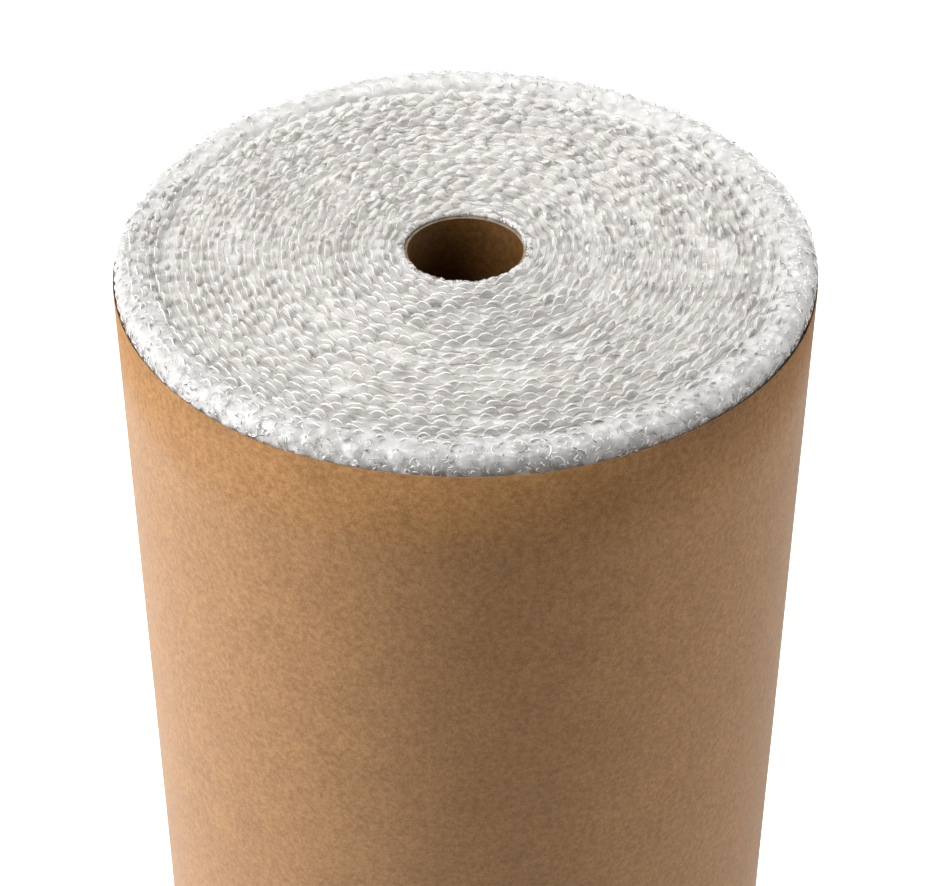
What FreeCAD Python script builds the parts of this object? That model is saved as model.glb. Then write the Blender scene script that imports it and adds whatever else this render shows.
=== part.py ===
import FreeCAD, Part
import math
import os
import Sketcher

# A roll of bubble film that stands on its end.
# The film is wound in turns on a cardboard tube, and a sheet of kraft paper
# goes once round the roll and is glued to itself where its ends lap.
# Lengths are millimetres. The origin is on the floor, on the roll's axis, and
# +Z runs up that axis. The paper's lap is at the back, on the +Y side.

PARTS_FOLDER = "parts"

SIZES = {
    # Cardboard tube
    "core_bore": 76.2,
    "core_wall": 3.2,
    "core_recess": 6.0,
    # Wound film
    "core_fit": 0.2,
    "film_width": 1000.0,
    "film_diameter": 458.0,
    "shoulder_radius": 16.0,
    "smooth_rim": 20.0,
    "turn_pitch": 5.8,
    "turn_depth": 3.6,
    # Paper wrapper
    "paper_fit": 0.3,
    "paper_thickness": 0.5,
    "paper_set_back": 14.0,
    "paper_floor_gap": 6.0,
    "lap_length": 45.0,
    "glue_gap": 0.1,
}

# Places that follow from those sizes
CORE_RADIUS = "(Sizes.core_bore / 2)"
CORE_OUTSIDE = f"({CORE_RADIUS} + Sizes.core_wall)"
FILM_BORE = f"({CORE_OUTSIDE} + Sizes.core_fit)"
FILM_OUTSIDE = "(Sizes.film_diameter / 2)"
FURROW_LEVEL = "(Sizes.film_width - Sizes.turn_depth)"
CLEAR_LEVEL = "(Sizes.film_width + Sizes.turn_depth)"
SHOULDER_TOP = f"({FILM_OUTSIDE} - Sizes.shoulder_radius)"
SHOULDER_FOOT = "(Sizes.film_width - Sizes.shoulder_radius)"
TURNS_ROOM = f"({SHOULDER_TOP} - Sizes.smooth_rim - {FILM_BORE})"
TURNS = f"floor({TURNS_ROOM} / Sizes.turn_pitch - 0.5)"
PAPER_INSIDE = f"({FILM_OUTSIDE} + Sizes.paper_fit)"
PAPER_STEP = "(Sizes.paper_thickness + Sizes.glue_gap)"
LAP_ANGLE = f"(Sizes.lap_length / ({PAPER_INSIDE} + {PAPER_STEP}) * 180 / pi)"

# How a sketch numbers the points of its edges, its origin and its upright axis
START, END, CENTRE = range(1, 4)
ORIGIN, UP_AXIS = range(-1, -3, -1)
ORIGIN_POINT = (ORIGIN, START)

UP = FreeCAD.Vector(0, 0, 1)
QUARTER_TURN = math.pi / 2
HALF_TURN = math.pi


def make_sheet(doc):
    """The spreadsheet that holds every size."""
    sheet = doc.addObject("Spreadsheet::Sheet", "Sizes")
    for row, (alias, value) in enumerate(SIZES.items(), start=1):
        sheet.set(f"A{row}", alias)
        sheet.set(f"B{row}", str(value))
        sheet.setAlias(f"B{row}", alias)
    doc.recompute()
    return sheet


def make_body(doc, label):
    """An empty body with the name of its sub-part."""
    body = doc.addObject("PartDesign::Body", label)
    body.Label = label
    return body


def make_sketch(body, name, plane):
    """An empty sketch on one of the body's own origin planes."""
    sketch = body.newObject("Sketcher::SketchObject", name)
    base = next(feature for feature in body.Origin.OriginFeatures if feature.Role == plane)
    sketch.AttachmentSupport = [(base, "")]
    sketch.MapMode = "FlatFace"
    return sketch


def number(owner, formula):
    """What a formula comes to, as a plain number."""
    value = owner.evalExpression(formula)
    return float(getattr(value, "Value", value))


def add_size(sketch, kind, where, formula):
    """A dimension of the sketch that follows the spreadsheet."""
    index = sketch.addConstraint(Sketcher.Constraint(kind, *where, number(sketch, formula)))
    sketch.setExpression(f"Constraints[{index}]", formula)


def pin(sketch, edge, end, place):
    """Fixes one end of an edge at a place given by two formulas."""
    for kind, formula in zip(("DistanceX", "DistanceY"), place):
        add_size(sketch, kind, (*ORIGIN_POINT, edge, end), formula)


def join_in_a_ring(sketch, edges):
    """Makes each edge start where the one before it ends."""
    sketch.addConstraint(
        [
            Sketcher.Constraint("Coincident", edge, END, following, START)
            for edge, following in zip(edges, edges[1:] + edges[:1])
        ]
    )


def line_between(start, end):
    return Part.LineSegment(FreeCAD.Vector(*start, 0), FreeCAD.Vector(*end, 0))


def arc_about(centre, radius, first_angle, last_angle):
    """An arc that runs anticlockwise between two angles in radians."""
    circle = Part.Circle(FreeCAD.Vector(*centre, 0), UP, radius)
    return Part.ArcOfCircle(circle, first_angle, last_angle)


def core_tube(doc):
    """The cardboard tube: it stands on the floor and ends a little below the film's end."""
    body = make_body(doc, "core_tube")
    ring = make_sketch(body, "core_ring", "XY_Plane")
    for formula in (CORE_RADIUS, CORE_OUTSIDE):
        circle = ring.addGeometry(Part.Circle(FreeCAD.Vector(), UP, number(ring, formula)))
        ring.addConstraint(Sketcher.Constraint("Coincident", circle, CENTRE, *ORIGIN_POINT))
        add_size(ring, "Radius", (circle,), formula)
    tube = body.newObject("PartDesign::Pad", "core_wall_pad")
    tube.Profile = ring
    tube.setExpression("Length", "Sizes.film_width - Sizes.core_recess")
    return body


def film_section(body):
    """The film's section on one side of the axis, with a round shoulder at the upper end."""
    sketch = make_sketch(body, "film_section", "XZ_Plane")
    places = [
        (FILM_BORE, "0"),
        (FILM_OUTSIDE, "0"),
        (FILM_OUTSIDE, SHOULDER_FOOT),
        (SHOULDER_TOP, "Sizes.film_width"),
        (FILM_BORE, "Sizes.film_width"),
    ]
    points = [tuple(number(sketch, formula) for formula in place) for place in places]
    edges = [line_between(*ends) for ends in zip(points, points[1:] + points[:1])]
    shoulder = places.index((FILM_OUTSIDE, SHOULDER_FOOT))
    middle = (number(sketch, SHOULDER_TOP), number(sketch, SHOULDER_FOOT))
    radius = number(sketch, "Sizes.shoulder_radius")
    edges[shoulder] = arc_about(middle, radius, 0, QUARTER_TURN)
    ring = list(sketch.addGeometry(edges))
    join_in_a_ring(sketch, ring)
    for edge, place in zip(ring, places):
        pin(sketch, edge, START, place)
    add_size(sketch, "Radius", (ring[shoulder],), "Sizes.shoulder_radius")
    return sketch


def turn_edges(body):
    """The air above the turns' edges: a row of points that reach down between the turns."""
    sketch = make_sketch(body, "turn_edges", "XZ_Plane")
    turns = round(number(sketch, TURNS))
    inside = f"{FILM_BORE} - Sizes.turn_pitch"
    places = [(inside, CLEAR_LEVEL), (inside, FURROW_LEVEL)]
    for half_turns in range(2 * turns + 2):
        radius = f"{FILM_BORE} + {half_turns} * Sizes.turn_pitch / 2"
        places.append((radius, "Sizes.film_width" if half_turns % 2 else FURROW_LEVEL))
    places.append((radius, CLEAR_LEVEL))
    points = [tuple(number(sketch, formula) for formula in place) for place in places]
    lines = [line_between(*ends) for ends in zip(points, points[1:] + points[:1])]
    ring = list(sketch.addGeometry(lines))
    join_in_a_ring(sketch, ring)
    for edge, place in zip(ring, places):
        pin(sketch, edge, START, place)
    return sketch


def add_second_axis(sketch):
    """An upright axis, half a turn's pitch beside the sketch's own."""
    across = number(sketch, "Sizes.turn_pitch / 2")
    foot, top = number(sketch, FURROW_LEVEL), number(sketch, CLEAR_LEVEL)
    axis = sketch.addGeometry(line_between((across, foot), (across, top)), True)
    pin(sketch, axis, START, ("Sizes.turn_pitch / 2", FURROW_LEVEL))
    pin(sketch, axis, END, ("Sizes.turn_pitch / 2", CLEAR_LEVEL))


def bubble_film(doc):
    """The wound film, one solid, with the edges of its turns on the upper end.

    A half turn about the roll's axis and a half turn about an axis half a pitch
    beside it meet end to end, so that the furrow between the turns is one spiral.
    """
    body = make_body(doc, "bubble_film")
    section = film_section(body)
    roll = body.newObject("PartDesign::Revolution", "wound_roll")
    roll.Profile = section
    roll.ReferenceAxis = (section, ["V_Axis"])
    roll.Angle = math.degrees(2 * HALF_TURN)
    edges = turn_edges(body)
    add_second_axis(edges)
    for name, axis, backwards in (("back_half", "V_Axis", False), ("front_half", "Axis0", True)):
        furrows = body.newObject("PartDesign::Groove", f"{name}_furrows")
        furrows.Profile = edges
        furrows.ReferenceAxis = (edges, [axis])
        furrows.Angle = math.degrees(HALF_TURN)
        furrows.Reversed = backwards
    return body


def kraft_wrapper(doc):
    """The paper sheet: once round the film, and a lap over its own beginning.

    The second half of the round turns about a point half a step behind the axis,
    so that the sheet comes back one step further out and lies over itself.
    """
    body = make_body(doc, "kraft_wrapper")
    sheet = make_sketch(body, "paper_edge", "XY_Plane")
    step = number(sheet, PAPER_STEP)
    lap = math.radians(number(sheet, LAP_ANGLE))
    back = QUARTER_TURN
    faces = []
    for face in ("0", "Sizes.paper_thickness"):
        radius = f"{PAPER_INSIDE} + {face}"
        half_way = f"{radius} + {PAPER_STEP} / 2"
        size = number(sheet, radius)
        arcs = (
            arc_about((0, 0), size, back, back + HALF_TURN),
            arc_about((0, step / 2), size + step / 2, back - HALF_TURN, back),
            arc_about((0, 0), size + step, back, back + lap),
        )
        first_half, second_half, over = [sheet.addGeometry(arc) for arc in arcs]
        add_size(sheet, "Radius", (first_half,), radius)
        add_size(sheet, "Radius", (second_half,), half_way)
        for arc in (first_half, over):
            sheet.addConstraint(Sketcher.Constraint("Coincident", arc, CENTRE, *ORIGIN_POINT))
        for arc, following in ((first_half, second_half), (second_half, over)):
            sheet.addConstraint(Sketcher.Constraint("Coincident", arc, END, following, START))
        on_the_axis = ((first_half, START), (first_half, END), (second_half, CENTRE), (over, START))
        for arc, point in on_the_axis:
            sheet.addConstraint(Sketcher.Constraint("PointOnObject", arc, point, UP_AXIS))
        faces.append((first_half, over))
    inner, outer = faces
    beginning = (inner[0], outer[0], START)
    ending = (inner[-1], outer[-1], END)
    for inner_arc, outer_arc, end in (beginning, ending):
        points = [sheet.getPoint(arc, end) for arc in (inner_arc, outer_arc)]
        line = sheet.addGeometry(Part.LineSegment(*points))
        for point, arc in ((START, inner_arc), (END, outer_arc)):
            sheet.addConstraint(Sketcher.Constraint("Coincident", line, point, arc, end))
    spoke = sheet.addGeometry(line_between((0, 0), (points[0].x, points[0].y)), True)
    sheet.addConstraint(Sketcher.Constraint("Coincident", spoke, START, *ORIGIN_POINT))
    sheet.addConstraint(Sketcher.Constraint("Coincident", spoke, END, inner[-1], END))
    sheet.addConstraint(Sketcher.Constraint("PointOnObject", outer[-1], END, spoke))
    add_size(sheet, "Angle", (spoke,), f"90 + {LAP_ANGLE}")
    wrapper = body.newObject("PartDesign::Pad", "paper_width_pad")
    wrapper.Profile = sheet
    length = "Sizes.film_width - Sizes.paper_set_back - Sizes.paper_floor_gap"
    wrapper.setExpression("Length", length)
    body.setExpression("Placement.Base.z", "Sizes.paper_floor_gap")
    return body


def check(doc, bodies):
    """Stops if any object failed, or if a sub-part has no sound solid."""
    for thing in doc.Objects:
        if {"Invalid", "Error"} & set(thing.State):
            raise RuntimeError(f"{thing.Label} failed: {thing.State}")
    for body in bodies:
        if body.Shape.isNull() or not body.Shape.isValid():
            raise RuntimeError(f"{body.Label} has no sound solid")


def main():
    doc = FreeCAD.newDocument("bubble_film_roll")
    make_sheet(doc)
    bodies = [make(doc) for make in (core_tube, bubble_film, kraft_wrapper)]
    doc.recompute()
    check(doc, bodies)
    os.makedirs(PARTS_FOLDER, exist_ok=True)
    for body in bodies:
        body.Shape.exportStep(f"{PARTS_FOLDER}/{body.Label}.step")


main()
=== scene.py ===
import math

import bpy
import numpy as np
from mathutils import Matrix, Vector


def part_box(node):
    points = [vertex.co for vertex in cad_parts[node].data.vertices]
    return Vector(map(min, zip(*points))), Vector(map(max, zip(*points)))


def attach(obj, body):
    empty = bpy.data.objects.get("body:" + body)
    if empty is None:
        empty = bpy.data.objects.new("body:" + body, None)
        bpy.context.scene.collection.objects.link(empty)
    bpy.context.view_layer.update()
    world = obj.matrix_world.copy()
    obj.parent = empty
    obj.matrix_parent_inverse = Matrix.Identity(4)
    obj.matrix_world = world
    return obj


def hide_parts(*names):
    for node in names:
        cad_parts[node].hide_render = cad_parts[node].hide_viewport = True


# A roll of bubble film on a cardboard tube, wrapped in kraft paper.
# Lengths are metres, in the part's own frame: +Z up, the viewer on the -Y side.

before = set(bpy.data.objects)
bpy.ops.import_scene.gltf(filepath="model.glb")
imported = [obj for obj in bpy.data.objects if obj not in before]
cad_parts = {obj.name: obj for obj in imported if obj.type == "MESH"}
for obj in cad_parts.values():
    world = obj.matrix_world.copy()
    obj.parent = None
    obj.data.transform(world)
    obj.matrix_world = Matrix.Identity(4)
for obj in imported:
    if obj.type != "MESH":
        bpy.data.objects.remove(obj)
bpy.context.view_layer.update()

MM = 0.001
FULL_TURN = 2 * math.pi

film_low, film_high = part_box("bubble_film")
core_low, core_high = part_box("core_tube")
paper_low, paper_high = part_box("kraft_wrapper")

FILM_TOP = film_high.z
FILM_OUTSIDE = film_high.x
CORE_OUTSIDE = core_high.x
CORE_TOP = core_high.z
CORE_WALL = 3.2 * MM
PAPER_TOP = paper_high.z
PAPER_FOOT = paper_low.z

# The web, its turns and its bubbles
TURN_PITCH = 5.8 * MM
TURNS_START = CORE_OUTSIDE + 0.3 * MM
WEB_THICKNESS = 0.2 * MM
BUBBLE_RADIUS = 5.3 * MM
BUBBLE_HEIGHT = 3.9 * MM
BUBBLE_SPACING = 13.3 * MM
BUBBLE_ROWS = 11.5 * MM
OUTWARD_BULGE = 0.25

# The upper end inside the shoulder, where the turns stand on a bed of milky film
RING_EDGES = [TURNS_START, 127 * MM, 174 * MM, 219.5 * MM]
OUTER_TURNS = 196 * MM
FACE_RISE = 1.4 * MM
BED_DEPTH = 5.8 * MM
OUTER_DEPTHS = np.array([1.2, 3.6]) * MM
INNER_DEPTHS = np.array([4.2, 2.2, 0.8]) * MM
STEPS_A_BUBBLE = 9
COARSE_STEPS = 4
HIGHLIGHT_LENS_SHARE = 0.5

# The lower end, which the roll stands on
LOWER_OUTSIDE = 209 * MM
LOWER_STEPS = 3
FLOOR_GAP = 0.2 * MM

# The shoulder: outer turns that lean over the edge, and the film's body under them
ROUND_BUBBLES = 106
LEANING_BUBBLE = 1.9 * MM
BODY_INSET = 2.6 * MM
SIDE_INSET = 1.8 * MM
SIDE_BULGE = 1.8 * MM
BACK_BULGE = 3.4 * MM
CROWN_DROP = 1.8 * MM
SHOULDER_ACROSS = 17 * MM
SHOULDER_DEEP = 11.6 * MM
SHOULDER_POWER = 0.64

# Welds and creases, drawn as thin arcs: the light ones a painted highlight, the dark ones painted shade
LINE_THICKNESS = 0.26 * MM
WELD_SEED = 40
WELD_ROWS = 4
LIP_LINE_RISE = 0.25 * MM

# The paper
PAPER_THICKNESS = 0.5 * MM
PAPER_LAP = 45 * MM


def seeded(number):
    return np.random.default_rng(number)


def wander(places, spacing, random):
    """A smooth random line along rising places, about -1 to 1, with a knot at each spacing."""
    along = (places - places[0]) / spacing
    before = along.astype(int)
    knots = random.uniform(-1, 1, before[-1] + 2)
    share = along - before
    share = share * share * (3 - 2 * share)
    return knots[before] * (1 - share) + knots[before + 1] * share


def make_mesh(name, points, quads, smooth=True):
    """A mesh object from an array of points, in any rows, and an array of four-cornered faces."""
    points = np.asarray(points, np.float32).reshape(-1, 3)
    mesh = bpy.data.meshes.new(name)
    mesh.vertices.add(len(points))
    mesh.vertices.foreach_set("co", points.ravel())
    mesh.loops.add(quads.size)
    mesh.loops.foreach_set("vertex_index", quads.astype(np.int32).ravel())
    mesh.polygons.add(len(quads))
    mesh.polygons.foreach_set("loop_start", np.arange(len(quads), dtype=np.int32) * 4)
    mesh.polygons.foreach_set("use_smooth", np.full(len(quads), smooth))
    mesh.update(calc_edges=True)
    mesh.validate()
    piece = bpy.data.objects.new(name, mesh)
    bpy.context.scene.collection.objects.link(piece)
    return piece


def grid_quads(columns, rows, wrap_columns=False, wrap_rows=False):
    """Faces of a grid whose points run down each column in turn."""
    column = np.arange(columns if wrap_columns else columns - 1)
    row = np.arange(rows if wrap_rows else rows - 1)
    column, row = np.meshgrid(column, row, indexing="ij")
    beside = (column + 1) % columns
    below = (row + 1) % rows
    corners = (column * rows + row, beside * rows + row, beside * rows + below, column * rows + below)
    return np.stack(corners, axis=-1).reshape(-1, 4)


def web_length(radius):
    """How much web is wound between the first turn and a radius."""
    return math.pi * (radius**2 - TURNS_START**2) / TURN_PITCH


def spiral_radius(length):
    return np.sqrt(TURNS_START**2 + TURN_PITCH * length / math.pi)


def dome(across, up, radius, height):
    """How far a bubble stands out of the web, at a place beside its middle."""
    away = np.clip((across**2 + up**2) / radius**2, 0, 1)
    return height * np.sqrt(1 - away**1.5)


def around_axis(reach, angle, high):
    """Points at these distances from the roll's axis, angles and heights."""
    places = (reach * np.cos(angle), reach * np.sin(angle), high)
    return np.stack(np.broadcast_arrays(*places), axis=-1)


def along_web(name, web, rows):
    """A closed sheet whose section, given as rows of (reach, height), runs along the web."""
    reach, high = (np.stack(parts, axis=1) for parts in zip(*rows))
    quads = grid_quads(len(web.angle), len(rows), wrap_rows=True)
    return make_mesh(name, around_axis(reach, web.angle[:, None], high), quads)


class WoundWeb:
    """Where the web's edge and its bubbles lie at one end of the roll, between two radii."""

    def __init__(self, first, last, seed, steps):
        self.random = random = seeded(seed)
        length = np.arange(web_length(first), web_length(last), BUBBLE_SPACING / steps)
        self.length = length
        radius = spiral_radius(length)
        self.angle = (radius - TURNS_START) * FULL_TURN / TURN_PITCH
        # The web lies a little higher or lower, and nearer or further, from place to place
        level = 0.8 * wander(length, 210 * MM, random) + 0.5 * wander(length, 34 * MM, random)
        self.reach = radius + wander(length, 47 * MM, random) * 0.9 * MM
        # Each bubble has its own size, height, lean and fill
        number = np.floor(length / BUBBLE_SPACING).astype(int)
        number -= number[0]
        bubbles = number[-1] + 2
        self.centre = (np.arange(bubbles) + np.floor(length[0] / BUBBLE_SPACING) + 0.5) * BUBBLE_SPACING
        self.fullness = random.uniform(0.3, 1.0, bubbles)[number]
        self.bubble = BUBBLE_RADIUS * random.uniform(0.85, 1.1, bubbles)[number]
        lift = random.uniform(-1.3, 0.8, bubbles)[number] * MM
        shift = random.uniform(-0.16, 0.16, bubbles)[number]
        lean = random.uniform(-0.45, 0.45, bubbles)[number]
        tall = random.uniform(0.6, 1.1, bubbles)[number]
        square = random.uniform(1.7, 3.2, bubbles)[number]
        part = (length / BUBBLE_SPACING) % 1
        self.beside = (part - 0.5 - shift) * BUBBLE_SPACING
        self.beside_lower = ((part + 0.5) % 1 - 0.5) * BUBBLE_SPACING
        # Next to the tube the turns are calmer, and lean in over its end
        calm = np.clip((radius - CORE_OUTSIDE) / (14 * MM), 0.3, 1)
        self.lean_in = 1.8 * MM * np.clip(1 - (radius - TURNS_START) / (6 * MM), 0, 1)
        # The outermost turns stand as high as the shoulder, which is higher at the sides
        outer = np.clip((radius - OUTER_TURNS) / (14 * MM), 0, 1)
        sides = np.cos(self.angle) ** 2
        back = np.clip(np.sin(self.angle), 0, 1)
        rise = FACE_RISE + (1.2 + 0.9 * sides - 1.4 * back) * MM * outer
        out_of_line = random.uniform(-1.3, 1.3, bubbles)[number] * MM
        self.reach += out_of_line * np.cos(self.beside / BUBBLE_SPACING * math.pi) ** 2 * calm
        self.middle = FILM_TOP + rise - BUBBLE_RADIUS - 1.2 * MM + (level * MM + lift) * calm
        arch = np.clip(1 - np.abs(self.beside / self.bubble) ** square, 0, 1) ** 0.5
        self.arch = arch * self.bubble * tall
        self.arch *= 0.5 + 0.5 * calm
        self.arch += np.where(self.arch > 0, lean * self.beside, 0)
        fin = BUBBLE_RADIUS * (0.12 + 0.45 * wander(length, 29 * MM, random)) - lift
        self.top = self.middle + np.maximum(self.arch, fin)
        self.on_arch = np.clip((self.arch - fin) / MM + 0.5, 0, 1)

    def bulge(self, height):
        """How far the bubbles stand out of the web at each place along it."""
        upper = dome(self.beside, height - self.middle, self.bubble, BUBBLE_HEIGHT * self.fullness)
        below = height - self.middle + BUBBLE_ROWS
        lower = dome(self.beside_lower, below, BUBBLE_RADIUS, BUBBLE_HEIGHT)
        crease = wander(self.length, 3.2 * MM, self.random) * 0.2 * MM * (upper > 0.4 * MM)
        return np.maximum(upper, lower) + crease


def end_turns(name, web):
    """The web's edge as one closed sheet with its bubbles."""
    foot = web.middle - 1.2 * MM
    rows = [(web.reach + WEB_THICKNESS / 2, web.top)]
    for height in [web.top - depth for depth in OUTER_DEPTHS] + [foot]:
        rows.append((web.reach + WEB_THICKNESS + OUTWARD_BULGE * web.bulge(height), height))
    for height in [foot] + [web.top - depth for depth in INNER_DEPTHS]:
        rows.append((web.reach - web.bulge(height), height))
    reach, high = (np.stack(parts, axis=1) for parts in zip(*rows))
    reach -= web.lean_in[:, None] * np.clip((high - CORE_TOP - 0.6 * MM) / (3 * MM), 0, 1)
    quads = grid_quads(len(web.angle), len(rows), wrap_rows=True)
    return make_mesh(name, around_axis(reach, web.angle[:, None], high), quads)


def lower_turns(name, web):
    """The turns at the lower end, pressed level where the roll stands on them."""
    rows = [(web.reach, web.top), (web.reach + 0.6 * MM, web.top - 1.5 * MM)]
    rows += [(web.reach + 1.2 * MM, web.middle - 1.2 * MM), (web.reach, web.middle - 1.2 * MM)]
    rows += [(web.reach - web.bulge(web.top - 2.2 * MM), web.top - 2.2 * MM)]
    reach, high = (np.stack(parts, axis=1) for parts in zip(*rows))
    high = np.maximum(FILM_TOP + 2 * MM - high, FLOOR_GAP + (FILM_TOP - high) / 40)
    quads = grid_quads(len(web.angle), len(rows), wrap_rows=True)
    return make_mesh(name, around_axis(reach, web.angle[:, None], high), quads[:, ::-1])


def end_rim_highlights(name, web):
    """A painted highlight along the web's edge: a thin opaque white ribbon, thicker where it goes over a
    bubble.
    """
    line = 0.75 + 0.25 * wander(web.length, 6 * MM, web.random)
    thick = (0.05 + 0.4 * web.on_arch * line) * MM
    deep = (0.2 + 0.6 * web.on_arch) * MM
    crest = web.top + 0.12 * MM
    return ribbon(name, web, web.reach + WEB_THICKNESS / 2 - web.lean_in, crest, thick, deep)


def backing_edges(name, web):
    """The edge of the flat backing film between the turns, here and there, coloured grey as painted shade.
    """
    middle = web.reach + 2.7 * MM + 0.9 * MM * wander(web.length, 23 * MM, web.random)
    crest = web.middle + (0.9 + 2.6 * wander(web.length, 12 * MM, web.random)) * MM
    return ribbon(name, web, middle, crest, 0.16 * MM, 0.7 * MM)


def bubble_highlight_lenses(name, web):
    """Painted highlights on the tops of some bubbles, as thin closed white lenses."""
    random = web.random
    bare = spiral_radius(web.centre[:-2]) < CORE_OUTSIDE + 7 * MM
    chosen = np.flatnonzero((random.uniform(0, 1, len(bare)) < HIGHLIGHT_LENS_SHARE) & ~bare)
    count = len(chosen)
    columns = np.linspace(-1, 1, 8)[None, :]
    wide = BUBBLE_RADIUS * random.uniform(0.55, 0.9, count)[:, None]
    deep = random.uniform(1.4, 4.2, count)[:, None] * MM * np.sqrt(1.02 - columns**2)
    place = web.centre[chosen][:, None] + random.normal(0, 0.8 * MM, count)[:, None] + wide * columns
    measures = ("angle", "reach", "top", "middle", "lean_in")
    at = {key: np.interp(place, web.length, getattr(web, key)) for key in measures}
    bulge = random.uniform(0.8, 1.0, count)[:, None] * BUBBLE_HEIGHT * 0.8
    corners = []
    for part, out in ((0, 0), (0.5, 0.3), (1, 0), (0.5, -0.25)):
        high = at["top"] - 0.1 * MM - part * deep
        swell = dome(wide * columns * 0.8, high - at["middle"], BUBBLE_RADIUS, bulge)
        swell = np.minimum(swell, 1.4 * part * deep)
        reach = at["reach"] - swell - out * MM * np.sqrt(1.02 - columns**2) - at["lean_in"]
        corners.append(around_axis(reach, at["angle"], high))
    return make_mesh(name, np.stack(corners, axis=2), tube_quads(count, columns.size))


def tube_quads(tubes, points):
    """Faces of many four-sided tubes, closed at both ends."""
    one = grid_quads(points, 4, wrap_rows=True)
    caps = np.array([[0, 1, 2, 3], [4 * points - 1, 4 * points - 2, 4 * points - 3, 4 * points - 4]])
    one = np.concatenate([one, caps])
    return (one[None, :, :] + (np.arange(tubes) * points * 4)[:, None, None]).reshape(-1, 4)


def ribbon(name, web, middle, crest, thick, deep):
    """A thin closed ribbon that runs along the web."""
    rows = [(middle, crest), (middle + thick, crest - deep), (middle - thick, crest - deep)]
    return along_web(name, web, rows)


def lathe(name, profile, segments, out=None):
    """A closed body of revolution from a ring of (radius, height) points.

    Each point can stand out from the ring by its own measure at each segment.
    """
    angle = np.arange(segments)[:, None] * FULL_TURN / segments
    profile = np.asarray(profile)
    reach = profile[None, :, 0]
    high = profile[None, :, 1]
    if out is not None:
        following = np.roll(profile, -1, axis=0) - np.roll(profile, 1, axis=0)
        following /= np.linalg.norm(following, axis=1)[:, None] + 1e-12
        reach = reach - out * following[None, :, 1]
        high = high + out * following[None, :, 0]
    quads = grid_quads(segments, len(profile), wrap_columns=True, wrap_rows=True)
    return make_mesh(name, around_axis(reach, angle, high), quads)


def shoulder_line(inset):
    """The outline of the leaning outer turns, from the face over the shoulder and down the side."""
    side = FILM_OUTSIDE - SIDE_INSET - inset
    crown = FILM_TOP - CROWN_DROP - inset
    middle = side - SHOULDER_ACROSS
    line = [(middle - 12 * MM, crown - 5 * MM), (middle - 7 * MM, crown - 2.8 * MM)]
    line += [(middle - 2.5 * MM, crown - 0.8 * MM)]
    for turn in np.linspace(math.pi / 2, 0, 20)[:-1]:
        across = SHOULDER_ACROSS * math.cos(turn) ** SHOULDER_POWER
        up = SHOULDER_DEEP * math.sin(turn) ** SHOULDER_POWER
        line.append((middle + across, crown - SHOULDER_DEEP + up))
    line += [(side, crown - SHOULDER_DEEP - drop * MM) for drop in (0, 1.5, 3, 5, 7.5, 11, 15)]
    return np.array(line)


def line_length(line):
    """How far along its outline each point of the shoulder lies."""
    return np.concatenate([[0], np.cumsum(np.linalg.norm(np.diff(line, axis=0), axis=1))])


def shoulder_swell(angle, height):
    """How far the shoulder stands out beyond its outline: most at the sides and the back."""
    above = np.clip((height - PAPER_TOP) / (9 * MM), 0, 1)
    slow = 0.4 + 0.35 * np.sin(3 * angle + 0.6) + 0.3 * np.sin(7 * angle + 2.0)
    sides = np.cos(angle) ** 2 * (0.55 + 0.45 * np.cos(angle))
    back = np.clip(np.sin(angle), 0, 1) ** 2
    return (SIDE_BULGE * sides + BACK_BULGE * back + 0.7 * MM * slow) * above


def lip_line():
    """The outline of the soft lip where the first turns fold over the end of the tube."""
    # Outward from the tube and up from its end, in millimetres
    steps = [(0, 0.4), (-1.1, 0.5), (-1.5, 1.4), (-0.9, 2.4), (0.8, 2.8), (2.7, 2.0)]
    return np.array([(CORE_OUTSIDE + (0.2 + across) * MM, CORE_TOP + up * MM) for across, up in steps])


def lip_ripple(angle, height=None):
    """How far the lip stands out beyond its outline, at any height."""
    random = seeded(12)
    waves = (7, 13, 19, 31, 47)
    strengths = random.uniform(0.15, 0.32, len(waves)) * MM
    phases = random.uniform(0, FULL_TURN, len(waves))
    ripples = zip(waves, strengths, phases)
    return sum(strength * np.sin(wave * angle + phase) for wave, strength, phase in ripples)


def film_body():
    """The wound film under its edges: milky, because so many turns lie behind each other."""
    random = seeded(11)
    inside = CORE_OUTSIDE + 0.2 * MM
    line = shoulder_line(BODY_INSET)
    side = line[-1, 0]
    low_side = FILM_OUTSIDE - 0.7 * MM
    bed = FILM_TOP - BED_DEPTH
    line[:3, 1] = np.maximum(line[:3, 1], bed)
    lip = list(lip_line())
    # Up the tube, over the lip, across the bed, over the shoulder and down the side
    profile = [(inside, 8 * MM)] + lip + [(inside + 4.5 * MM, bed), (line[0, 0] - 2 * MM, bed)]
    shoulder_starts = len(profile)
    profile += list(line)
    profile += [(low_side, FILM_TOP - 60 * MM), (low_side, 10 * MM)]
    # Round the lower corner, which rests on the floor, and into the lower end
    profile += [(side, 4 * MM), (side - 4 * MM, 1 * MM), (side - 10 * MM, 0.4 * MM)]
    profile += [(side - 16 * MM, 0.4 * MM), (side - 17 * MM, 8 * MM)]
    segments = 432
    angle = np.arange(segments)[:, None] * FULL_TURN / segments
    out = np.zeros((segments, len(profile)))
    lumps = random.normal(0, 0.25 * MM, (segments, len(line)))
    out[:, shoulder_starts : shoulder_starts + len(line)] = shoulder_swell(angle, line[None, :, 1]) + lumps
    out[:, 2 : 1 + len(lip)] = lip_ripple(angle)
    return lathe("film_body", profile, segments, out)


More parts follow.
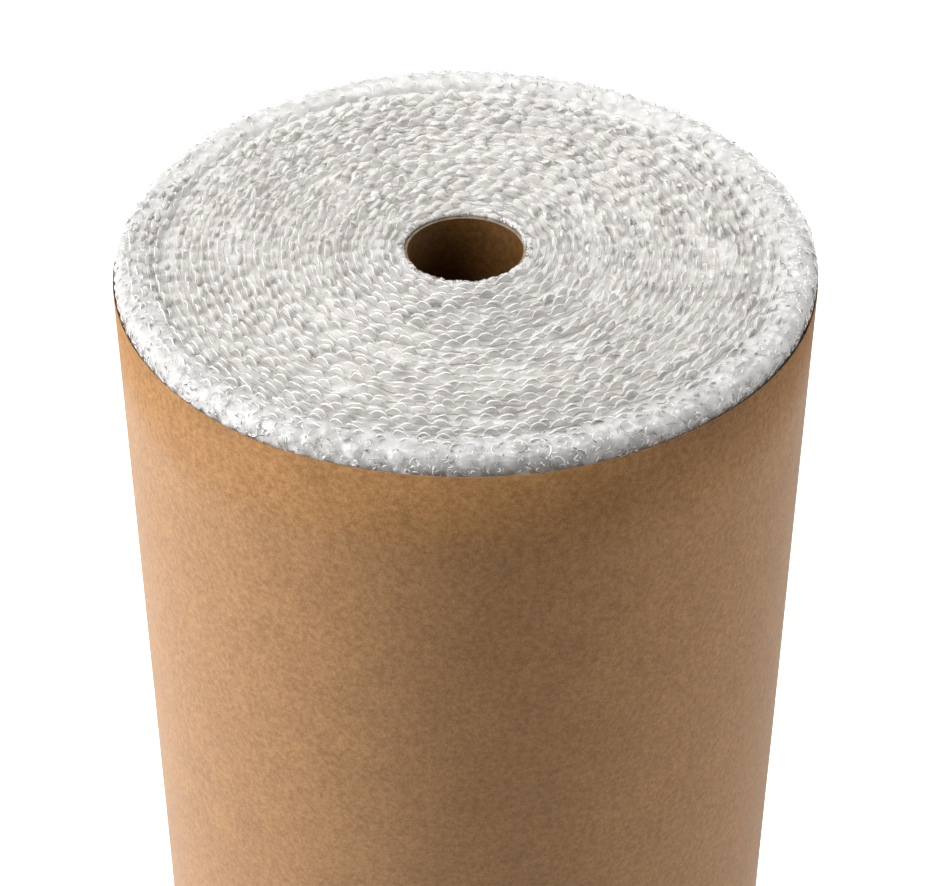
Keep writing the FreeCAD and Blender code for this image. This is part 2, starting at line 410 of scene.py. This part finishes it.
def leaning_turn(name, inset, seed, offset):
    """One outer turn that leans over the edge, as a closed thin sheet with its whole bubbles."""
    random = seeded(seed)
    line = shoulder_line(inset)
    under = line[::-6] - np.array([0.3 * MM, 0.3 * MM])
    profile = np.concatenate([line, under])
    count = len(line)
    steps = 8
    segments = ROUND_BUBBLES * steps
    along = line_length(line) + offset * BUBBLE_ROWS
    around = np.arange(segments) / steps
    out = np.zeros((segments, len(profile)))
    for row in range(-1, 6):
        place = around + 0.5 * (row % 2) + offset
        number = np.floor(place).astype(int) % ROUND_BUBBLES
        beside = (place % 1 - 0.5) * BUBBLE_SPACING
        size = BUBBLE_RADIUS * random.uniform(0.92, 1.02, ROUND_BUBBLES)[number]
        height = LEANING_BUBBLE * random.uniform(0.2, 1.0, ROUND_BUBBLES)[number]
        up = along[None, :] - (row + 0.5) * BUBBLE_ROWS
        bump = dome(beside[:, None], up, size[:, None], height[:, None])
        out[:, :count] = np.maximum(out[:, :count], bump)
    crease = random.normal(0, 0.22 * MM, (segments, count))
    out[:, :count] += (crease + np.roll(crease, 1, axis=0)) / 2
    angle = np.arange(segments)[:, None] * FULL_TURN / segments
    out += shoulder_swell(angle, profile[None, :, 1])
    return lathe(name, profile, segments, out)


def film_lines(name, line, around, places, rise, swell, random):
    """Thin arcs on a turned surface, each four-sided and pointed at its ends."""
    across, up, radius, sweep = places
    along = line_length(line)
    run = np.gradient(line, axis=0)
    outward = np.stack([-run[:, 1], run[:, 0]]) / np.linalg.norm(run, axis=1)
    lines = len(radius)
    start = random.uniform(0, FULL_TURN, lines)
    flatness = random.uniform(0.75, 1.0, lines)[:, None]
    points = 7
    share = np.linspace(0, 1, points)[None, :]
    turn = start[:, None] + sweep[:, None] * share
    thick = LINE_THICKNESS * (0.35 + 1.5 * random.uniform(0, 1, lines)[:, None] ** 2)
    thick = thick * np.sin((share * 0.94 + 0.03) * math.pi) ** 0.5
    corners = []
    for side, lift in ((1, 0), (0, 1), (-1, 0), (0, -1)):
        spread = radius[:, None] + side * thick
        height = up[:, None] + spread * flatness * np.sin(turn)
        angle = (across[:, None] + spread * np.cos(turn)) / around * FULL_TURN
        thinner = 1 - 0.5 * np.clip(np.sin(angle), 0, 1)
        high = np.interp(height, along, line[:, 1])
        out = swell(angle, high) + rise + lift * thick * thinner
        reach = np.interp(height, along, line[:, 0]) + out * np.interp(height, along, outward[0])
        high = high + out * np.interp(height, along, outward[1])
        corners.append(around_axis(reach, angle, high))
    return make_mesh(name, np.stack(corners, axis=2), tube_quads(lines, points))


def shoulder_lines(name, rise, tighter, creases, seed):
    """The welds round the bubbles on the shoulder, and creases in its film; the script draws one set in a
    painted-highlight white and one in painted shade.
    """
    random = seeded(seed)
    line = shoulder_line(0)
    around = ROUND_BUBBLES * BUBBLE_SPACING
    row, number = np.meshgrid(np.arange(WELD_ROWS), np.arange(ROUND_BUBBLES), indexing="ij")
    row, number = row.ravel(), number.ravel()
    welds = len(row)
    size = seeded(WELD_SEED)
    across = (number + 0.5 - 0.5 * (row % 2)) * BUBBLE_SPACING + size.normal(0, 1.1 * MM, welds)
    up = (row + 0.9) * BUBBLE_ROWS + size.normal(0, 1.3 * MM, welds)
    radius = BUBBLE_RADIUS * size.uniform(0.62, 1.05, welds) - tighter
    sweep = random.uniform(0.5, 2.8, welds)
    # The creases start 12 mm along the outline, and most lie low on the shoulder
    across = np.append(across, random.uniform(0, around, creases))
    reaching = random.beta(1.7, 0.8, creases)
    up = np.append(up, 12 * MM + reaching * (line_length(line)[-1] - 25 * MM))
    radius = np.append(radius, random.uniform(1.0, 8.0, creases) * MM)
    sweep = np.append(sweep, random.uniform(1.2, 5.0, creases) * MM / radius[welds:])
    places = (across, up, radius, sweep)
    return film_lines(name, line, around, places, rise, shoulder_swell, random)


def lip_lines(name, creases, seed):
    """Creases in the film that folds over the end of the tube, drawn as thin arcs for painted highlights
    and painted shade.
    """
    random = seeded(seed)
    line = lip_line()
    around = FULL_TURN * CORE_OUTSIDE
    across = random.uniform(0, around, creases)
    up = random.uniform(0.25, 0.95, creases) * line_length(line)[-1]
    radius = random.uniform(1.0, 7.0, creases) * MM
    sweep = random.uniform(1.5, 6.0, creases) * MM / radius
    places = (across, up, radius, sweep)
    return film_lines(name, line, around, places, LIP_LINE_RISE, lip_ripple, random)


def kraft_sheet():
    """The paper: once round, a lap at the back, a slightly wavy upper edge."""
    random = seeded(5)
    step = PAPER_THICKNESS + 0.1 * MM
    lap = PAPER_LAP / (FILM_OUTSIDE + 1 * MM)
    around = 240
    rows = 16
    inside = FILM_OUTSIDE + 0.3 * MM
    angle = np.linspace(0, FULL_TURN + lap, around)[:, None]
    growth = np.clip((angle - math.pi) / math.pi, 0, 1)
    growth = step * growth * growth * (3 - 2 * growth)
    height = np.linspace(PAPER_FOOT, PAPER_TOP, rows)[None, :]
    swell = np.zeros((around, rows))
    for waves, strength in ((3, 0.25), (5, 0.2), (8, 0.12)):
        phase = random.uniform(0, FULL_TURN, 2)
        ripple = np.sin(height * 9 * waves / 5 + phase[1])
        swell += strength * MM * np.sin(waves * angle + phase[0]) * ripple
    # The upper edge dips here and there, and the sheet below it stays level
    dip = 0.8 * MM * np.sin(2 * angle + 0.4) + 0.35 * MM * np.sin(7 * angle)
    share = (height - PAPER_FOOT) / (PAPER_TOP - PAPER_FOOT)
    high = height + dip * share**30
    inner = around_axis(inside + growth + np.maximum(swell, 0), angle + math.pi / 2, high)
    outer_reach = inside + growth + PAPER_THICKNESS + np.maximum(swell, 0)
    outer = around_axis(outer_reach, angle + math.pi / 2, high)
    points = np.concatenate([inner, outer[:, ::-1]], axis=1)
    quads = grid_quads(around, 2 * rows, wrap_rows=True)
    ends = []
    for column, direction in ((0, 1), (around - 1, -1)):
        base = column * 2 * rows
        for row in range(rows - 1):
            quad = [base + row, base + row + 1, base + 2 * rows - 2 - row, base + 2 * rows - 1 - row]
            ends.append(quad[::direction])
    return make_mesh("kraft_sheet", points, np.concatenate([quads, np.array(ends)]))


def core_board():
    """The tube, with slightly rounded ends."""
    inner = CORE_OUTSIDE - CORE_WALL
    outer = CORE_OUTSIDE
    edge = 0.5 * MM
    heights = np.linspace(core_low.z + edge, CORE_TOP - edge, 5)
    profile = [(inner, z) for z in heights[::-1]]
    profile += [(inner + edge, core_low.z), (outer - edge, core_low.z)]
    profile += [(outer, z) for z in heights]
    profile += [(outer - edge, CORE_TOP), (inner + edge, CORE_TOP)]
    return lathe("core_board", profile, 128)


class Nodes:
    """A small helper for building a material's or the world's nodes."""

    def __init__(self, owner):
        owner.use_nodes = True
        self.owner = owner
        self.tree = owner.node_tree
        self.tree.nodes.clear()
        ending = "World" if isinstance(owner, bpy.types.World) else "Material"
        self.output = self.tree.nodes.new("ShaderNodeOutput" + ending)

    def add(self, kind, inputs=None, **settings):
        """A new node. Each input is a plain value or another node's output."""
        node = self.tree.nodes.new(kind)
        for key, value in settings.items():
            setattr(node, key, value)
        for key, value in (inputs or {}).items():
            if isinstance(value, bpy.types.NodeSocket):
                self.tree.links.new(value, node.inputs[key])
            else:
                node.inputs[key].default_value = value
        return node

    def noise(self, coordinate, scale, detail, roughness=0.55):
        inputs = {"Vector": coordinate, "Scale": scale, "Detail": detail, "Roughness": roughness}
        return self.add("ShaderNodeTexNoise", inputs).outputs["Fac"]

    def ramp(self, value, stops):
        """A colour that runs through these (place, colour) stops."""
        node = self.add("ShaderNodeValToRGB", {"Fac": value})
        for element, (place, colour) in zip(node.color_ramp.elements, stops):
            element.position = place
            element.color = (*colour, 1)
        return node.outputs["Color"]

    def multiply(self, first, second):
        """One colour times another: sockets 0, 6 and 7 are the share and the two colours."""
        inputs = {0: 1.0, 6: first, 7: second}
        return self.add("ShaderNodeMix", inputs, data_type="RGBA", blend_type="MULTIPLY").outputs[2]

    def math(self, operation, *values):
        inputs = dict(enumerate(values))
        return self.add("ShaderNodeMath", inputs, operation=operation).outputs[0]

    def bump(self, height, distance, strength):
        inputs = {"Height": height, "Distance": distance, "Strength": strength}
        return self.add("ShaderNodeBump", inputs).outputs[0]

    def finish(self, shader):
        self.tree.links.new(shader.outputs[0], self.output.inputs["Surface"])
        return self.owner


def linear(red, green, blue):
    """A colour written as on a screen, 0 to 255, as the renderer's own numbers."""
    return tuple(((value / 255 + 0.055) / 1.055) ** 2.4 for value in (red, green, blue))


def film_material(name, tint, shade, roughness, alpha=1.0, depth=0.0, wrinkling=1.2 * MM, patches=70):
    """Clear film, milky where its turns lie together, with small sharp glints."""
    nodes = Nodes(bpy.data.materials.new(name))
    place = nodes.add("ShaderNodeTexCoord").outputs["Object"]
    patch = nodes.noise(place, patches, 2)
    wrinkle = nodes.noise(place, 420, 2, 0.7)
    base = nodes.ramp(patch, ((0.32, linear(*shade)), (0.68, linear(*tint))))
    shader = nodes.add(
        "ShaderNodeBsdfPrincipled",
        {
            "Base Color": base,
            "Roughness": roughness,
            "IOR": 1.5,
            "Alpha": alpha,
            "Subsurface Weight": 1.0 if depth else 0.0,
            "Subsurface Radius": (1.0, 0.97, 0.94),
            "Subsurface Scale": depth,
            "Normal": nodes.bump(wrinkle, wrinkling, 0.8),
        },
    )
    return nodes.finish(shader)


def kraft_material(name, light, dark, sheen=0.0):
    """Brown paper: pressed fibres, soft mottling, a dull sheen."""
    nodes = Nodes(bpy.data.materials.new(name))
    place = nodes.add("ShaderNodeTexCoord").outputs["Object"]
    cloud = nodes.noise(place, 30, 3, 0.6)
    mottle = nodes.noise(place, 240, 3, 0.75)
    speck = nodes.noise(place, 1100, 2, 0.8)
    base = nodes.ramp(mottle, ((0.36, linear(*dark)), (0.64, linear(*light))))
    cloudy = nodes.ramp(cloud, ((0.3, (0.88, 0.87, 0.85)), (0.7, (1, 1, 1))))
    specks = nodes.ramp(speck, ((0.32, (0.7, 0.67, 0.62)), (0.62, (1.06, 1.06, 1.06))))
    base = nodes.multiply(nodes.multiply(base, cloudy), specks)
    shader = nodes.add(
        "ShaderNodeBsdfPrincipled",
        {
            "Base Color": base,
            "Roughness": 0.6,
            "Specular IOR Level": 0.12,
            "Sheen Weight": sheen,
            "Sheen Roughness": 0.5,
            "Normal": nodes.bump(speck, 0.3 * MM, 0.5),
        },
    )
    return nodes.finish(shader)


def place_piece(piece, material, node):
    """Gives a piece its material and its slot, and shows it in place of a CAD node."""
    piece.data.materials.append(material)
    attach(piece, "root")
    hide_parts(node)


def place_film(piece, material):
    place_piece(piece, material, "bubble_film")


def area_light(name, place, target, width, height, power):
    lamp = bpy.data.lights.new(name, "AREA")
    lamp.shape = "RECTANGLE"
    lamp.size = width
    lamp.size_y = height
    lamp.energy = power
    thing = bpy.data.objects.new(name, lamp)
    bpy.context.scene.collection.objects.link(thing)
    thing.location = place
    direction = Vector(target) - Vector(place)
    thing.rotation_euler = direction.to_track_quat("-Z", "Y").to_euler()


def background_share(nodes):
    """1 for rays that look at the background itself or see it in a gloss, 0 for its light."""
    path = nodes.add("ShaderNodeLightPath")
    share = path.outputs["Is Camera Ray"]
    for kind in ("Is Glossy Ray", "Is Transmission Ray"):
        share = nodes.math("MAXIMUM", share, path.outputs[kind])
    return share


def studio():
    """A pale floor, a white background and five soft lamps."""
    corners = [(-9, -9, 0), (9, -9, 0), (9, 9, 0), (-9, 9, 0)]
    floor = make_mesh("floor", corners, np.array([[0, 1, 2, 3]]), smooth=False)
    nodes = Nodes(bpy.data.materials.new("floor"))
    diffuse = nodes.add("ShaderNodeBsdfDiffuse", {"Color": (0.8, 0.8, 0.8, 1)})
    glow = nodes.add("ShaderNodeEmission", {"Color": (1, 1, 1, 1), "Strength": background_share(nodes)})
    both = nodes.add("ShaderNodeAddShader", {0: diffuse.outputs[0], 1: glow.outputs[0]})
    floor.data.materials.append(nodes.finish(both))
    world = bpy.data.worlds.new("studio")
    bpy.context.scene.world = world
    nodes = Nodes(world)
    plain = nodes.add("ShaderNodeBackground", {"Color": (1, 1, 1, 1), "Strength": 0.04})
    white = nodes.add("ShaderNodeBackground", {"Color": (1, 1, 1, 1), "Strength": 1.0})
    share = background_share(nodes)
    nodes.finish(nodes.add("ShaderNodeMixShader", {0: share, 1: plain.outputs[0], 2: white.outputs[0]}))
    area_light("left", (-2.55, -0.5, 1.5), (0, 0, 0.7), 1.2, 2.2, 88)
    area_light("front", (-1.8, -2.0, 1.6), (0, 0, 0.7), 1.2, 2.2, 5)
    area_light("right", (2.55, -0.45, 1.5), (0, 0, 0.7), 1.0, 2.2, 43)
    area_light("top", (-1.3, -0.2, 2.9), (0, 0, 1), 0.8, 0.8, 43)
    area_light("top_back", (0.5, 1.6, 2.7), (0, 0, 1), 0.8, 0.8, 33)


def camera():
    """The photo's view, fitted to the rim and the straight sides of the paper."""
    lens = bpy.data.cameras.new("view")
    lens.lens = 97.945
    lens.sensor_width = 36
    thing = bpy.data.objects.new("view", lens)
    bpy.context.scene.collection.objects.link(thing)
    thing.location = (-0.0015, -1.3792, PAPER_TOP + 0.9163)
    thing.rotation_euler = (math.radians(52.2373), 0, 0)
    bpy.context.scene.camera = thing


camera()
studio()

film_face = film_material(
    "film_face", (231, 229, 225), (216, 213, 209), 0.18, alpha=0.4, wrinkling=0.4 * MM
)
# Painted highlight: plain opaque white for the rims on the web's edges, the welds and glints on the
# shoulder and the lip's light creases
film_highlight = film_material("film_highlight", (248, 247, 246), (236, 235, 233), 0.22)
# Painted highlight: a whiter film for the lenses on bubble tops, also used plainly for the turns at the
# lower end
film_lens_highlight = film_material("film_lens_highlight", (238, 235, 230), (222, 219, 213), 0.35, alpha=0.75)
# Painted shade: grey for the lines between the turns
film_gap_shade = film_material("film_gap_shade", (183, 181, 178), (152, 149, 145), 0.2)
# Painted shade: a warm dark grey for the dark creases on the shoulder and the lip
film_shade_crease = film_material("film_shade_crease", (146, 138, 131), (104, 96, 90), 0.25)
film_skin = film_material(
    "film_skin", (241, 240, 239), (207, 205, 202), 0.08, alpha=0.5, wrinkling=0.8 * MM, patches=90
)
film_bulk = film_material("film_bulk", (228, 226, 222), (213, 210, 206), 0.35, depth=16 * MM)
kraft = kraft_material("kraft_paper", (174, 130, 83), (147, 106, 63), sheen=0.22)
board = kraft_material("core_board", (97, 66, 28), (75, 48, 15))
board_end = kraft_material("core_board_end", (160, 146, 130), (128, 112, 96))

place_film(film_body(), film_bulk)
place_film(leaning_turn("film_turn_outer", inset=0, seed=31, offset=0), film_skin)
place_film(leaning_turn("film_turn_under", inset=1.3 * MM, seed=32, offset=0.37), film_skin)
# Welds and small glints on the shoulder, coloured with a painted highlight
welds = shoulder_lines("film_weld_highlights", rise=1.2 * MM, tighter=0, creases=2100, seed=41)
place_film(welds, film_highlight)
# Dark creases on the shoulder, coloured with painted shade
creases = shoulder_lines("film_shade_creases", rise=1.1 * MM, tighter=0.6 * MM, creases=1300, seed=42)
place_film(creases, film_shade_crease)
# Light creases on the lip in a painted highlight, dark ones in painted shade
place_film(lip_lines("film_lip_highlights", creases=220, seed=51), film_highlight)
place_film(lip_lines("film_lip_shades", creases=400, seed=52), film_shade_crease)
for ring, (first, last) in enumerate(zip(RING_EDGES, RING_EDGES[1:]), start=1):
    web = WoundWeb(first, last, 20 + ring, STEPS_A_BUBBLE)
    place_film(end_turns(f"film_turns_{ring}", web), film_face)
    # Painted highlights along the web's edge
    place_film(end_rim_highlights(f"film_highlights_{ring}", web), film_highlight)
    # Painted highlights on some bubble tops
    place_film(bubble_highlight_lenses(f"film_lens_highlights_{ring}", web), film_lens_highlight)
    coarse = WoundWeb(first, last, 20 + ring, COARSE_STEPS)
    # Painted shade lines between the turns
    place_film(backing_edges(f"film_edge_shades_{ring}", coarse), film_gap_shade)
place_piece(kraft_sheet(), kraft, "kraft_wrapper")
lower_web = WoundWeb(TURNS_START, LOWER_OUTSIDE, 27, LOWER_STEPS)
place_film(lower_turns("film_lower_turns", lower_web), film_lens_highlight)
tube = core_board()
place_piece(tube, board, "core_tube")
tube.data.materials.append(board_end)
for face in tube.data.polygons:
    if face.center.z > CORE_TOP - 0.6 * MM:
        face.material_index = 1

bpy.context.scene.view_settings.view_transform = "Standard"
